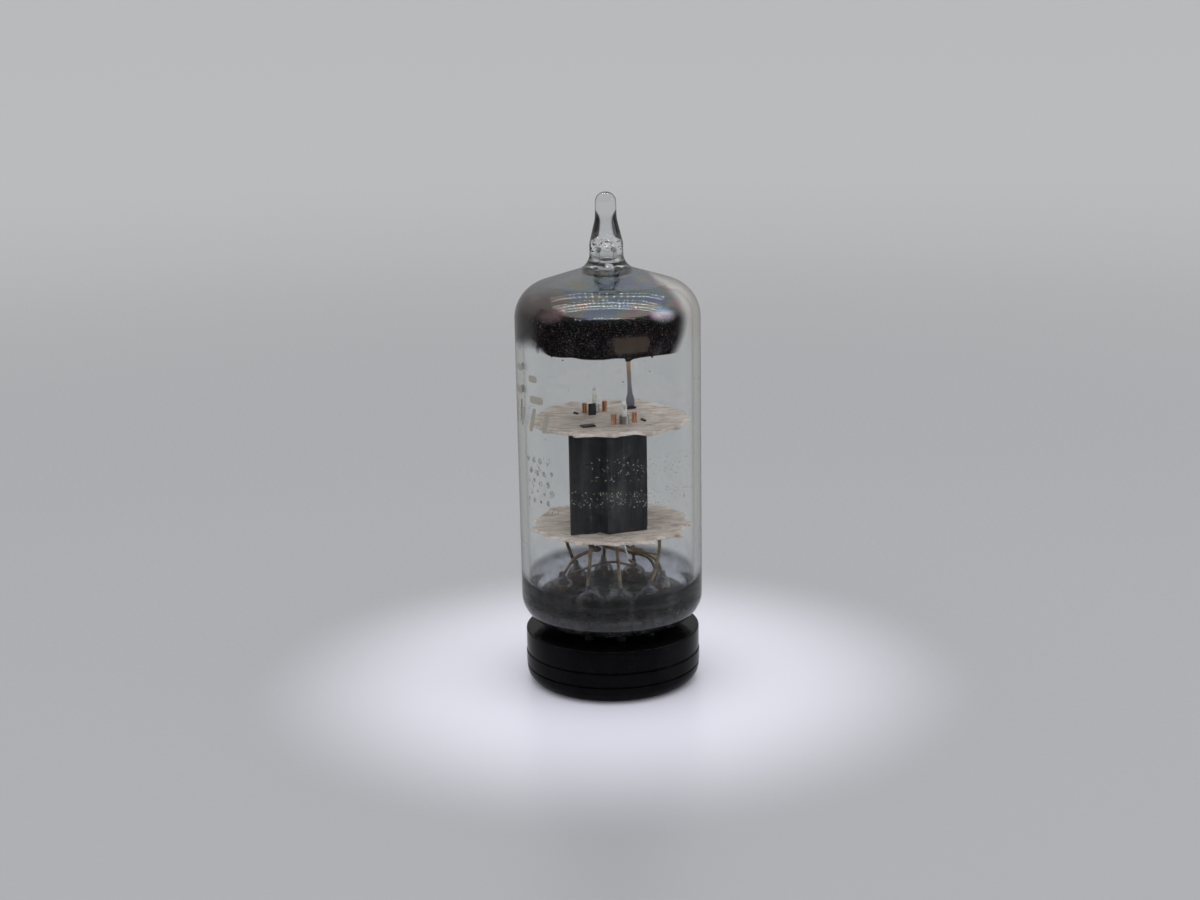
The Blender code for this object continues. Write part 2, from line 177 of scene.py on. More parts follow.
def ramp(tree, fac, *stops):
    """A colour ramp through (position, colour) stops. A colour may be one grey value."""
    made = add(tree, "ValToRGB", inputs={"Fac": fac})
    elements = made.color_ramp.elements
    while len(elements) < len(stops):
        elements.new(0.5)
    for element, (position, colour) in zip(elements, stops):
        if isinstance(colour, (int, float)):
            colour = (colour, colour, colour)
        element.position = position
        element.color = (*colour, 1)
    return made.outputs[0]


def remap(tree, value, low, high, to_low=0.0, to_high=1.0, smooth=True):
    values = {"Value": value, "From Min": low, "From Max": high}
    values.update({"To Min": to_low, "To Max": to_high})
    kind = "SMOOTHSTEP" if smooth else "LINEAR"
    return add(tree, "MapRange", {"interpolation_type": kind}, values).outputs[0]


def calc(tree, operation, a, b=0.0):
    return add(tree, "Math", {"operation": operation}, {0: a, 1: b}).outputs[0]


def product(tree, first, *others):
    for other in others:
        first = calc(tree, "MULTIPLY", first, other)
    return first


def mix_colour(tree, fac, a, b):
    """a where fac is 0 and b where it is 1. Each may be a colour or an output."""
    made = add(tree, "Mix", {"data_type": "RGBA"})
    for socket, value in ((0, fac), (6, a), (7, b)):
        if not isinstance(value, (bpy.types.NodeSocket, int, float)):
            value = (*value, 1)
        give(made.inputs[socket], value)
    return made.outputs[2]


def roughen(tree, shader, pattern, low, high):
    put(shader, "Roughness", remap(tree, pattern, 0.3, 0.7, low, high))


def bump(tree, shader, height, strength, distance):
    values = {"Height": height, "Strength": strength, "Distance": distance * MM}
    put(shader, "Normal", add(tree, "Bump", inputs=values).outputs[0])


def mix_shader(tree, fac, a, b):
    made = add(tree, "MixShader", inputs={0: fac, 1: a, 2: b})
    return made.outputs[0]


# ---- materials


def let_lamps_through(tree, surface, output):
    """Lamp light and light bounced off the pieces inside pass straight through the glass."""
    path = add(tree, "LightPath")
    passing = calc(tree, "MAXIMUM", path.outputs["Is Shadow Ray"], path.outputs["Is Diffuse Ray"])
    clear = add(tree, "BsdfTransparent", inputs={"Color": (*GLASS_TINT, 1)}).outputs[0]
    give(output.inputs["Surface"], mix_shader(tree, passing, surface, clear))


def glass_material(name, dust, rim, rim_shade_colour, base_shade_tint=None):
    """Clear glass with faint dust and finger smears. Its rims are tinted dark by facing angle as painted shade,
    and its base is tinted smoky dark as painted shade.
    """
    mat, tree, shader, output = new_material(name)
    place = mm_place(tree)
    smear = noise_at(tree, place, 0.35, 5, 0.65, 0.6)
    facing = add(tree, "LayerWeight", inputs={"Blend": 0.5}).outputs["Facing"]
    height = axes_of(tree, place)[2]
    if base_shade_tint is None:
        # The painted rim shade is made much stronger round the tip's waist.
        waist = product(tree, remap(tree, height, *WAIST_SHADE_START), remap(tree, height, *WAIST_SHADE_END))
        facing = product(tree, facing, calc(tree, "ADD", product(tree, waist, 4.2), 1.0))
        knob = product(tree, remap(tree, height, *KNOB_START), remap(tree, height, *KNOB_END))
        knobbly = product(tree, noise_at(tree, place, 0.9, 2, 0.5), knob)
        bump(tree, shader, knobbly, 0.7, 0.5)
    # The dark tint towards the rims is painted shade, standing in for the dark surroundings seen through the
    # glass edges.
    tint = mix_colour(tree, remap(tree, facing, *rim), GLASS_TINT, rim_shade_colour)
    streaks = noise_at(tree, mm_place(tree, (1, 1, 0.25)), 0.8, 4, 0.6)
    veil_base = 0.0
    # Below the fade the stem glass is tinted smoky dark: painted shade standing in for the black guard seen
    # through it.
    if base_shade_tint:
        low = remap(tree, height, *BASE_SHADE_FADE, 1.0, 0.0)
        smoky = mix_colour(tree, remap(tree, streaks, 0.35, 0.7), base_shade_tint, [c * 1.5 for c in base_shade_tint])
        tint = mix_colour(tree, low, tint, smoky)
        veil_base = product(tree, low, remap(tree, streaks, 0.5, 0.72, 0.0, 0.04))
    put(shader, "Base Color", tint)
    put(shader, "Transmission Weight", 1.0)
    put(shader, "IOR", 1.5)
    put(shader, "Roughness", remap(tree, smear, 0.5, 0.75, 0.008, 0.05))
    specks = remap(tree, noise_at(tree, place, 3.2, 2, 0.5), 0.72, 0.76)
    film = product(tree, remap(tree, smear, 0.52, 0.8), dust)
    veil = calc(tree, "MAXIMUM", film, product(tree, specks, dust * 4))
    veil = calc(tree, "MAXIMUM", veil, veil_base)
    dusty = add(tree, "BsdfDiffuse", inputs={"Color": (0.62, 0.61, 0.58, 1)}).outputs[0]
    surface = mix_shader(tree, veil, shader.outputs[0], dusty)
    let_lamps_through(tree, surface, output)
    return mat


def mirror_material():
    """The barium getter flash: a dark mirror with oil-like tints and an uneven edge, painted near-black below
    its shoulder as a painted dark reflection.
    """
    mat, tree, shader, output = new_material("getter_flash")
    place = mm_place(tree)
    tint = noise_at(tree, mm_place(tree, (1, 1, 1.6)), 0.13, 3, 0.5, 1.6)
    colour = ramp(
        tree,
        tint,
        (0.28, (0.25, 0.18, 0.30)),
        (0.38, (0.19, 0.22, 0.31)),
        (0.45, (0.21, 0.26, 0.27)),
        (0.50, (0.27, 0.25, 0.21)),
        (0.56, (0.31, 0.20, 0.25)),
        (0.62, (0.25, 0.20, 0.33)),
        (0.72, (0.19, 0.25, 0.27)),
    )
    x, y, z = axes_of(tree, place)
    brown_side = product(tree, remap(tree, z, 47.5, 43.5), remap(tree, x, -1.5, -7.0))
    colour = mix_colour(tree, product(tree, brown_side, 0.92), colour, (0.075, 0.05, 0.042))
    grain = noise_at(tree, place, 9, 2, 0.6)
    speckle = remap(tree, noise_at(tree, place, 5, 2, 0.6), 0.48, 0.62)
    speckle = product(tree, speckle, remap(tree, z, 44.0, 41.5, 0.0, 0.55))
    colour = mix_colour(tree, speckle, colour, (0.03, 0.028, 0.03))
    drift = product(tree, noise_at(tree, place, 1.6, 3, 0.6), 1.2)
    thin_at = calc(tree, "ADD", x, drift)
    thin_x = product(tree, remap(tree, thin_at, *PATCH_LEFT), remap(tree, thin_at, *PATCH_RIGHT))
    thin_z = product(tree, remap(tree, z, *PATCH_LOW), remap(tree, z, *PATCH_HIGH))
    thin = product(tree, product(tree, thin_x, thin_z), remap(tree, y, 0.0, -2.0, 0.0, 0.6))
    warm = mix_colour(tree, grain, (0.075, 0.048, 0.030), (0.14, 0.095, 0.062))
    # Below the shoulder the flash is painted near-black: a painted reflection of the light box's dark open
    # front.
    colour = mix_colour(tree, remap(tree, z, *DARK_REFLECTION_BAND, 0.0, 0.9), colour, (0.014, 0.0145, 0.019))
    dots = remap(tree, noise_at(tree, place, 7.5, 2, 0.6), 0.57, 0.64)
    dots = product(tree, dots, remap(tree, z, 44.5, 42.5, 0.0, 0.62))
    thin = calc(tree, "MAXIMUM", thin, dots)
    put(shader, "Base Color", mix_colour(tree, thin, colour, warm))
    put(shader, "Metallic", calc(tree, "SUBTRACT", 1.0, thin))
    roughen(tree, shader, grain, 0.02, 0.05)
    wobble = product(tree, noise_at(tree, place, 0.22, 1, 0.5), 1.1)
    lumps = remap(tree, noise_at(tree, place, 0.75, 1, 0.5), 0.54, 0.62, 0.0, 0.3)
    softness = remap(tree, x, -6.0, -8.2, 0.07, 2.4)
    edge_z = calc(tree, "SUBTRACT", calc(tree, "ADD", wobble, FLASH_END), lumps)
    lower = remap(tree, z, edge_z, calc(tree, "ADD", edge_z, softness))
    across = calc(tree, "ADD", product(tree, x, 0.866), product(tree, y, 0.5))
    bulge = calc(tree, "POWER", calc(tree, "ABSOLUTE", calc(tree, "SUBTRACT", z, 43.0)), 2.0)
    limit = calc(tree, "SUBTRACT", remap(tree, z, 45.8, 47.5, 4.0, 6.7), product(tree, bulge, 0.12))
    inside = calc(tree, "SUBTRACT", limit, across)
    side = remap(tree, inside, -1.1, 1.1)
    cover = product(tree, product(tree, lower, side), 0.985)
    haze = product(tree, remap(tree, inside, 2.0, -1.0), remap(tree, z, 38.9, 41.0))
    veil = mix_colour(tree, haze, (1, 1, 1), (0.995, 0.986, 0.977))
    clear = add(tree, "BsdfTransparent", inputs={"Color": veil}).outputs[0]
    give(output.inputs["Surface"], mix_shader(tree, cover, clear, shader.outputs[0]))
    return mat


def plastic_material():
    """Glossy black moulding with fine wiped scratches and a little dust."""
    mat, tree, shader, _ = new_material("black_moulding")
    place = mm_place(tree)
    smear = noise_at(tree, place, 0.4, 5, 0.6, 0.4)
    scratch = noise_at(tree, mm_place(tree, (0.15, 1, 3)), 6, 3, 0.6)
    colour = ramp(tree, smear, (0.3, (0.001, 0.001, 0.0015)), (0.7, (0.003, 0.003, 0.0035)))
    dust = remap(tree, noise_at(tree, place, 5, 2, 0.5), 0.72, 0.78, 0, 0.22)
    put(shader, "Base Color", mix_colour(tree, dust, colour, (0.07, 0.07, 0.07)))
    put(shader, "IOR", 1.16)
    put(shader, "Roughness", remap(tree, smear, 0.3, 0.75, 0.06, 0.2))
    bump(tree, shader, scratch, 0.2, 0.006)
    return mat


def mica_material():
    """Mica with a sprayed pinkish coat: fuzzy, streaked, stained and flaking."""
    mat, tree, shader, _ = new_material("coated_mica")
    place = mm_place(tree)
    streaks = noise_at(tree, mm_place(tree, (0.6, 1.5, 1)), 0.75, 6, 0.62, 0.5)
    fuzz = noise_at(tree, place, 4.5, 5, 0.75)
    colour = ramp(
        tree,
        streaks,
        (0.32, (0.24, 0.17, 0.135)),
        (0.43, (0.41, 0.325, 0.28)),
        (0.53, (0.54, 0.455, 0.41)),
        (0.66, (0.64, 0.565, 0.525)),
        (0.80, (0.44, 0.37, 0.33)),
    )
    stain = remap(tree, noise_at(tree, mm_place(tree, (0.4, 1.4, 1)), 0.9, 4, 0.6, 1.2), 0.60, 0.68, 0, 0.65)
    colour = mix_colour(tree, stain, colour, (0.20, 0.125, 0.095))
    flakes = remap(tree, noise_at(tree, place, 1.4, 5, 0.7, 0.6), 0.60, 0.66, 0, 0.55)
    colour = mix_colour(tree, flakes, colour, (0.40, 0.345, 0.32))
    colour = mix_colour(tree, remap(tree, fuzz, 0.4, 0.72, 0, 0.4), colour, (0.84, 0.79, 0.76))
    pits = remap(tree, noise_at(tree, place, 2.6, 2, 0.5), 0.70, 0.73, 0, 0.8)
    colour = mix_colour(tree, pits, colour, (0.07, 0.05, 0.045))
    put(shader, "Base Color", colour)
    roughen(tree, shader, fuzz, 0.55, 0.85)
    height = calc(tree, "ADD", fuzz, streaks)
    bump(tree, shader, height, 0.7, 0.10)
    return mat


def plate_material():
    """Carbonised nickel sheet: blue-black with soft upright bands and rubbed edges."""
    mat, tree, shader, _ = new_material("carbonised_plate")
    bands = noise_at(tree, mm_place(tree, (1, 1, 0.08)), 1.1, 4, 0.6)
    blotch = noise_at(tree, mm_place(tree), 0.5, 4, 0.6, 0.5)
    grain = noise_at(tree, mm_place(tree, (1, 1, 0.2)), 14, 3, 0.6)
    colour = ramp(
        tree, bands, (0.3, (0.010, 0.011, 0.015)), (0.5, (0.019, 0.021, 0.026)), (0.7, (0.044, 0.045, 0.050))
    )
    colour = mix_colour(tree, remap(tree, blotch, 0.45, 0.75, 0, 0.5), colour, (0.050, 0.047, 0.046))
    put(shader, "Base Color", colour)
    put(shader, "Metallic", 0.35)
    roughen(tree, shader, grain, 0.42, 0.62)
    bump(tree, shader, grain, 0.3, 0.015)
    return mat


def metal_material(name, low, high, rough, stretch=(1, 1, 0.12), scale=2.5, metallic=0.9, dirt=0.35):
    """A drawn or rolled metal whose colour varies between low and high along its length."""
    mat, tree, shader, _ = new_material(name)
    streak = noise_at(tree, mm_place(tree, stretch), scale, 4, 0.6)
    patch = noise_at(tree, mm_place(tree), 0.8, 4, 0.6)
    colour = mix_colour(tree, remap(tree, streak, 0.35, 0.65), low, high)
    colour = mix_colour(tree, remap(tree, patch, 0.5, 0.8, 0, 0.6), colour, [c * dirt for c in low])
    put(shader, "Base Color", colour)
    put(shader, "Metallic", metallic)
    roughen(tree, shader, patch, rough - 0.1, rough + 0.15)
    bump(tree, shader, streak, 0.3, 0.02)
    return mat


def strip_material():
    """Strip steel, heat-stained orange-brown at the top and blue-grey towards the foot."""
    mat, tree, shader, _ = new_material("heated_strip")
    place = mm_place(tree)
    height = axes_of(tree, place)[2]
    streak = noise_at(tree, mm_place(tree, (1, 1, 0.2)), 2.2, 4, 0.6)
    wander = calc(tree, "ADD", height, product(tree, streak, 3))
    colour = ramp(
        tree,
        remap(tree, wander, 31, 40, smooth=False),
        (0.0, (0.22, 0.235, 0.30)),
        (0.4, (0.31, 0.32, 0.37)),
        (0.6, (0.42, 0.30, 0.22)),
        (0.8, (0.66, 0.42, 0.26)),
        (1.0, (0.52, 0.32, 0.20)),
    )
    rubbed = remap(tree, streak, 0.55, 0.7, 0, 0.4)
    put(shader, "Base Color", mix_colour(tree, rubbed, colour, (0.7, 0.62, 0.55)))
    put(shader, "Metallic", 0.4)
    roughen(tree, shader, streak, 0.3, 0.5)
    return mat


def seal_material():
    """Glass fillets round the wires: near-black olive and amber below, blue-grey at the tip."""
    mat, tree, shader, _ = new_material("wire_seal")
    place = mm_place(tree)
    height = axes_of(tree, place)[2]
    mottle = noise_at(tree, place, 1.3, 4, 0.6, 0.8)
    body = ramp(
        tree,
        mottle,
        (0.35, (0.008, 0.008, 0.008)),
        (0.5, (0.022, 0.017, 0.010)),
        (0.62, (0.070, 0.028, 0.010)),
        (0.75, (0.020, 0.020, 0.014)),
    )
    tip = ramp(tree, mottle, (0.35, (0.012, 0.014, 0.020)), (0.65, (0.055, 0.058, 0.078)))
    wander = calc(tree, "ADD", height, product(tree, mottle, 0.8))
    put(shader, "Base Color", mix_colour(tree, remap(tree, wander, 11.6, 12.3), body, tip))
    roughen(tree, shader, mottle, 0.06, 0.22)
    put(shader, "Coat Weight", 1.0)
    put(shader, "Coat Roughness", 0.04)
    bump(tree, shader, mottle, 0.3, 0.1)
    return mat


def smoky_material(name, stops, scale):
    """Dark glass whose stains run through stops of (position, colour)."""
    mat, tree, shader, _ = new_material(name)
    stain = noise_at(tree, mm_place(tree, (1, 1, 0.6)), scale, 5, 0.65, 1.0)
    put(shader, "Base Color", ramp(tree, stain, *stops))
    roughen(tree, shader, stain, 0.15, 0.45)
    return mat


def pin_material():
    """Nickel pins that turn copper-red where they are sealed in the glass."""
    mat, tree, shader, _ = new_material("pin_nickel")
    place = mm_place(tree)
    height = axes_of(tree, place)[2]
    streak = noise_at(tree, mm_place(tree, (1, 1, 0.1)), 3, 4, 0.6)
    nickel = mix_colour(tree, streak, (0.34, 0.32, 0.30), (0.60, 0.58, 0.54))
    # From 5.2 to 6.4 mm up the nickel turns near-black.
    darker_above = remap(tree, height, 5.2, 6.4, 0.0, 0.88)
    nickel = mix_colour(tree, darker_above, nickel, (0.030, 0.028, 0.028))
    sealed = mix_colour(tree, streak, (0.05, 0.012, 0.006), (0.02, 0.014, 0.008))
    put(shader, "Base Color", mix_colour(tree, remap(tree, height, 7.2, 7.7), nickel, sealed))
    put(shader, "Metallic", 0.9)
    roughen(tree, shader, streak, 0.25, 0.42)
    return mat


def ink_material(name, colour, wear, grain=3.5):
    """Print that has mostly rubbed off, where grain counts the bare spots across a millimetre."""
    mat, tree, shader, output = new_material(name)
    place = mm_place(tree)
    worn = noise_at(tree, place, grain, 5, 0.7)
    shade = mix_colour(tree, noise_at(tree, place, 6, 3), [c * 0.75 for c in colour], colour)
    put(shader, "Base Color", shade)
    roughen(tree, shader, worn, 0.6, 0.9)
    clear = add(tree, "BsdfTransparent").outputs[0]
    cover = remap(tree, worn, wear - 0.06, wear + 0.06, 0.95, 0.04)
    give(output.inputs["Surface"], mix_shader(tree, cover, clear, shader.outputs[0]))
    return mat


def floor_material():
    """A pale floor with a painted pool of light round the object, and painted light that makes it lighter
    farther out.

    Beyond the pool it doesn't show in mirror reflections, so that those see the light box.
    """
    mat, tree, shader, output = new_material("pale_floor")
    place = mm_place(tree)
    away = add(tree, "VectorMath", {"operation": "LENGTH"}, {0: place}).outputs["Value"]
    fine = noise_at(tree, place, 1.5, 3, 0.5)
    # The pool is painted light, whitest round the object.
    painted_pool = remap(tree, away, *PAINTED_POOL_FADE)
    # Farther out the floor is painted lighter, as painted light on the backdrop.
    wall = mix_colour(tree, remap(tree, away, 100, 520), (0.395, 0.40, 0.42), (0.55, 0.555, 0.565))
    shade = mix_colour(tree, painted_pool, (0.85, 0.845, 0.95), wall)
    put(shader, "Base Color", shade)
    roughen(tree, shader, fine, 0.28, 0.36)
    mirrored = calc(tree, "GREATER_THAN", add(tree, "LightPath").outputs["Glossy Depth"], 0.5)
    hidden = product(tree, mirrored, calc(tree, "GREATER_THAN", away, NEAR_FLOOR_R))
    clear = add(tree, "BsdfTransparent").outputs[0]
    give(output.inputs["Surface"], mix_shader(tree, hidden, shader.outputs[0], clear))
    return mat


# ---- mesh helpers


def link_new(name, data):
    obj = bpy.data.objects.new(name, data)
    bpy.context.scene.collection.objects.link(obj)
    return obj


def piece(name, data, mat, replaced=(), body="tube"):
    obj = link_new(name, data)
    data.materials.append(mat)
    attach(obj, body)
    if replaced:
        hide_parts(*replaced)
    return obj


def finish_mesh(name, bm, angle=40):
    bmesh.ops.recalc_face_normals(bm, faces=bm.faces)
    mesh = bpy.data.meshes.new(name)
    bm.to_mesh(mesh)
    bm.free()
    mesh.shade_smooth()
    mesh.set_sharp_from_angle(angle=radians(angle))
    return mesh


def rounded(corners, step=radians(5)):
    """The outline through corners (r, z, fillet radius), with each fillet as an arc."""
    outline = [Vector(corners[0][:2])]
    for before, (r, z, radius), after in zip(corners, corners[1:], corners[2:]):
        corner = Vector((r, z))
        if not radius:
            outline.append(corner)
            continue
        back = (Vector(before[:2]) - corner).normalized()
        ahead = (Vector(after[:2]) - corner).normalized()
        half = back.angle(ahead) / 2
        centre = corner + (back + ahead).normalized() * (radius / sin(half))
        start = corner + back * (radius / tan(half))
        turn = pi - 2 * half
        sign = 1 if ahead.cross(back) > 0 else -1
        count = max(2, ceil(turn / step))
        for k in range(count + 1):
            spin = Matrix.Rotation(sign * turn * k / count, 2)
            outline.append(centre + spin @ (start - centre))
    outline.append(Vector(corners[-1][:2]))
    return outline


def add_turned(bm, outline, segments=ROUND, closed=False, at=(0, 0)):
    """Turns an outline (r, z) about the upright line at (x, y)."""
    rings = []
    for r, z in outline:
        count = 1 if r < 1e-6 else segments
        ring = []
        for k in range(count):
            angle = tau * k / segments
            point = Vector((at[0] + r * cos(angle), at[1] + r * sin(angle), z))
            ring.append(bm.verts.new(point * MM))
        rings.append(ring)
    pairs = list(zip(rings, rings[1:]))
    if closed:
        pairs.append((rings[-1], rings[0]))
    for one, other in pairs:
        for k in range(segments):
            ahead = (k + 1) % segments
            corners = [one[k % len(one)], other[k % len(other)]]
            if len(other) > 1:
                corners.append(other[ahead])
            if len(one) > 1:
                corners.append(one[ahead])
            bm.faces.new(corners)


def turned(name, outline, segments=ROUND, closed=False, at=(0, 0)):
    bm = bmesh.new()
    add_turned(bm, outline, segments, closed, at)
    return finish_mesh(name, bm)


def add_loft(bm, sections):
    """Joins closed sections of equally many points into one body with flat ends."""
    rings = [[bm.verts.new(Vector(p) * MM) for p in section] for section in sections]
    for one, other in zip(rings, rings[1:]):
        for k in range(len(one)):
            ahead = (k + 1) % len(one)
            bm.faces.new((one[k], one[ahead], other[ahead], other[k]))
    bm.faces.new(rings[0])
    bm.faces.new(rings[-1])


def soften(obj, width, segments=2):
    """Rounds the sharp edges."""
    bevel = obj.modifiers.new("soft_edges", "BEVEL")
    bevel.width = width * MM
    bevel.segments = segments
    bevel.limit_method = "ANGLE"
    bevel.angle_limit = radians(35)
    bevel.harden_normals = False


def dome_corner(inset):
    drop = inset * tan((pi / 2 - CROWN_SLOPE) / 2)
    return BULB_R - inset, SHOULDER_Z - drop, SHOULDER_RADIUS - inset


def crown_height(r, inset):
    corner_r, corner_z, _ = dome_corner(inset)
    return corner_z + (corner_r - r) * tan(CROWN_SLOPE)


# ---- glass


def make_bulb(mat):
    """The bulb and the pressed stem, fused at the heel as one body of glass."""
    low, neck_top = BULB_LOW.z, BULB_HIGH.z
    inner_r = BULB_R - WALL
    outer = [
        (0, low, 0),
        (BULB_R, low, HEEL_RADIUS),
        dome_corner(0),
        (NECK_R, crown_height(NECK_R, 0), 1.9),
        (NECK_R, neck_top, 0),
    ]
    inner = [
        (BORE_R, neck_top, 0),
        (BORE_R, crown_height(BORE_R, WALL), 0.3),
        dome_corner(WALL),
        (inner_r, BUTTON_TOP, MENISCUS_TOP - BUTTON_TOP + 0.3),
        (0, BUTTON_TOP, 0),
    ]
    mesh = turned("bulb", rounded(outer) + rounded(inner))
    piece("bulb", mesh, mat, ["glass_envelope", "button_stem"])


def make_tip(mat):
    base, top = box_mm("exhaust_tip")[0].z, box_mm("exhaust_tip")[1].z
    corners = [
        (0, top, 0),
        (1.15, top, 1.1),
        (1.2, 53.3, 4),
        (NECK_R, 50.6, 2),
        (NECK_R, base, 0.12),
        (BORE_R, base, 0),
        (BORE_R, 50.2, 0.5),
        (0.35, 50.9, 0.3),
        (0, 50.6, 0),
    ]
    mesh = turned("sealed_tip", rounded(corners), 64)
    piece("sealed_tip", mesh, mat, ["exhaust_tip"])


def make_stem_core(dark_mat, oxide_mat):
    """A near-black core in the middle of the pressed stem, painted shade that stands in for the black guard
    seen through the glass, and the oxide-stained seal round each pin in it.
    """
    core = [(0, 9.7, 0), (9.3, 9.7, 0.5), (9.3, 8.6, 0.8), (8.1, 7.6, 0.4), (0, 7.6, 0)]
    mesh = turned("stem_shade_core", rounded(core, 0.15), 96)
    piece("stem_shade_core", mesh, dark_mat)
    for number, place in enumerate(PIN_PLACES, 1):
        swell = 1.0 + 0.1 * cos(2.9 * number)
        sleeve = [(0, 9.93, 0), (0.8 * swell, 9.93, 0.3), (1.15 * swell, 9.0, 0.8)]
        sleeve += [(0.85, 7.5, 0.3), (0, 7.5, 0)]
        mesh = turned(f"pin_seal_{number}", rounded(sleeve, 0.2), 32, at=place)
        piece(mesh.name, mesh, oxide_mat)


def make_seals(seal_mat):
    """A fillet of glass round each wire where it leaves the stem."""
    for number, (x, y) in enumerate(PIN_PLACES, 1):
        swell = 1 + 0.12 * sin(2.3 * number)
        rise = 0.25 * cos(1.7 * number)
        seal = [
            (0.0, 12.75 + rise, 0),
            (0.24, 12.7 + rise, 0),
            (0.36 * swell, 12.0 + rise, 0.6),
            (0.72 * swell, 11.75 + rise, 0.5),
            (1.2 * swell, 11.2, 0.8),
            (1.35 * swell, BUTTON_TOP + 0.04, 0.3),
            (0.0, BUTTON_TOP + 0.03, 0),
        ]
        mesh = turned(f"wire_seal_{number}", rounded(seal, radians(12)), 32, at=(x, y))
        piece(f"wire_seal_{number}", mesh, seal_mat)


def make_film(mat):
    """The flash lies in the glass just under its inner surface, so no air shows between them."""
    films = []
    for inset in (WALL - 1.6 * GAP, WALL - 0.6 * GAP):
        wall_r = BULB_R - inset
        rim = (1.5, crown_height(1.5, inset), 0)
        bottom = box_mm("getter_film")[0].z
        films.append(rounded([(wall_r, bottom, 0), dome_corner(inset), rim]))
    mesh = turned("getter_flash_skin", films[0] + films[1][::-1], closed=True)
    piece("getter_flash_skin", mesh, mat, ["getter_film"])


# ---- guard and pins


def make_guard(mat):
    low, high = box_mm("pin_guard")
    band_r, top = high.x, high.z
    guard_r = band_r - 0.05
    side = [(guard_r, top, 0.2)]
    for groove, above, below in ((GUARD_GROOVES[0], guard_r, band_r), (GUARD_GROOVES[1], band_r, guard_r)):
        side.append((above, groove + 0.14, 0.04))
        side.append((guard_r - 0.2, groove, 0.05))
        side.append((below, groove - 0.14, 0.04))
    corners = [(0, top, 0), *side, (guard_r, low.z, 1.7), (0, low.z, 0)]
    mesh = turned("guard_moulding", rounded(corners, radians(9)), ROUND)
    guard = piece("guard_moulding", mesh, mat, ["pin_guard"], "guard")
    bm = bmesh.new()
    for place in PIN_PLACES:
        hole = [(0, top + 1), (PIN_HOLE_R, top + 1), (PIN_HOLE_R, 0.4), (0, 0.4)]
        add_turned(bm, hole, 32, at=place)
    carve(guard, bm)


def carve(obj, bm):
    """Cuts the bodies in bm out of the object's mesh."""
    cutter = link_new("cutter", finish_mesh("cutter", bm))
    boolean = obj.modifiers.new("cut", "BOOLEAN")
    boolean.object = cutter
    boolean.solver = "EXACT"
    graph = bpy.context.evaluated_depsgraph_get()
    mesh = bpy.data.meshes.new_from_object(obj.evaluated_get(graph))
    obj.modifiers.remove(boolean)
    obj.data = mesh
    bpy.data.objects.remove(cutter)
    mesh.shade_smooth()
    mesh.set_sharp_from_angle(angle=radians(40))


def make_pins(mat):
    for number, place in enumerate(PIN_PLACES, 1):
        low, high = box_mm(f"pin_{number}")
        r = (high.x - low.x) / 2
        outline = rounded([(0, high.z, 0), (r, high.z, 0.05), (r, low.z, 0.4), (0, low.z, 0)], 0.2)
        mesh = turned(f"base_pin_{number}", outline, 32, at=place)
        piece(f"base_pin_{number}", mesh, mat, [f"pin_{number}"])


# ---- mica discs


def mica_edge(angle, tooth_first, seed):
    """The radius of a mica disc: low scallops between small pointed teeth of uneven length."""
    pitch = tau / MICA_TEETH
    turn = (angle - tooth_first) / pitch
    tooth_number = round(turn)
    share = turn - tooth_number
    scallop = 0.16 * (1 - cos(tau * share)) / 2
    tooth = exp(-((abs(share) / 0.11) ** 2.4))
    length = 0.50 + 0.08 * sin(5.3 * (tooth_number % MICA_TEETH) + seed)
    fray = 0.05 * noise.noise(Vector((cos(angle) * 14, sin(angle) * 14, seed)))
    return MICA_R - scallop + length * tooth + fray


def make_mica(name, node, seed, mat):
    low, high = box_mm(node)
    first = radians(-87)
    count = MICA_TEETH * 20
    shares = (0.15, 0.3, 0.45, 0.6, 0.75, 0.87, 0.95, 0.985)
    bm = bmesh.new()

    def sag(x, y):
        """Gentle warp of the disc, more at its edge."""
        reach = (x * x + y * y) / 80
        wave = noise.noise(Vector((x * 0.28, y * 0.28, seed)))
        ripple = noise.noise(Vector((x * 0.9, y * 0.9, seed + 5)))
        return reach * (0.24 * wave + 0.12 * ripple)

    def ring(share, lift):
        points = []
        for k in range(count):
            angle = tau * k / count
            r = mica_edge(angle, first, seed) * share
            x, y = r * cos(angle), r * sin(angle)
            points.append(bm.verts.new(Vector((x, y, lift + sag(x, y))) * MM))
        return points

    rings = [ring(share, low.z) for share in shares]
    rings.append(ring(1.0, low.z + 0.09))
    rings.append(ring(1.0, high.z - 0.07))
    rings += [ring(share, high.z + (0.09 if share > 0.9 else 0)) for share in reversed(shares)]
    for one, other in zip(rings, rings[1:]):
        for k in range(count):
            ahead = (k + 1) % count
            bm.faces.new((one[k], one[ahead], other[ahead], other[k]))
    for cap, z in ((rings[0], low.z), (rings[-1], high.z)):
        centre = bm.verts.new(Vector((0, 0, z)) * MM)
        for k in range(count):
            bm.faces.new((cap[k], cap[(k + 1) % count], centre))
    disc = piece(name, finish_mesh(name, bm, 60), mat, [node])
    holes = bmesh.new()
    for label, _ in UNITS:
        for post in (f"grid_rod_{label}_1", f"grid_rod_{label}_2", f"cathode_{label}"):
            radius = radius_of(post) + (0.05 if "cathode" in post else 0.04)
            outline = [(0, high.z + 1), (radius, high.z + 1), (radius, low.z - 1), (0, low.z - 1)]
            add_turned(holes, outline, 24, at=middle(post).xy)
    carve(disc, holes)


# ---- electrodes


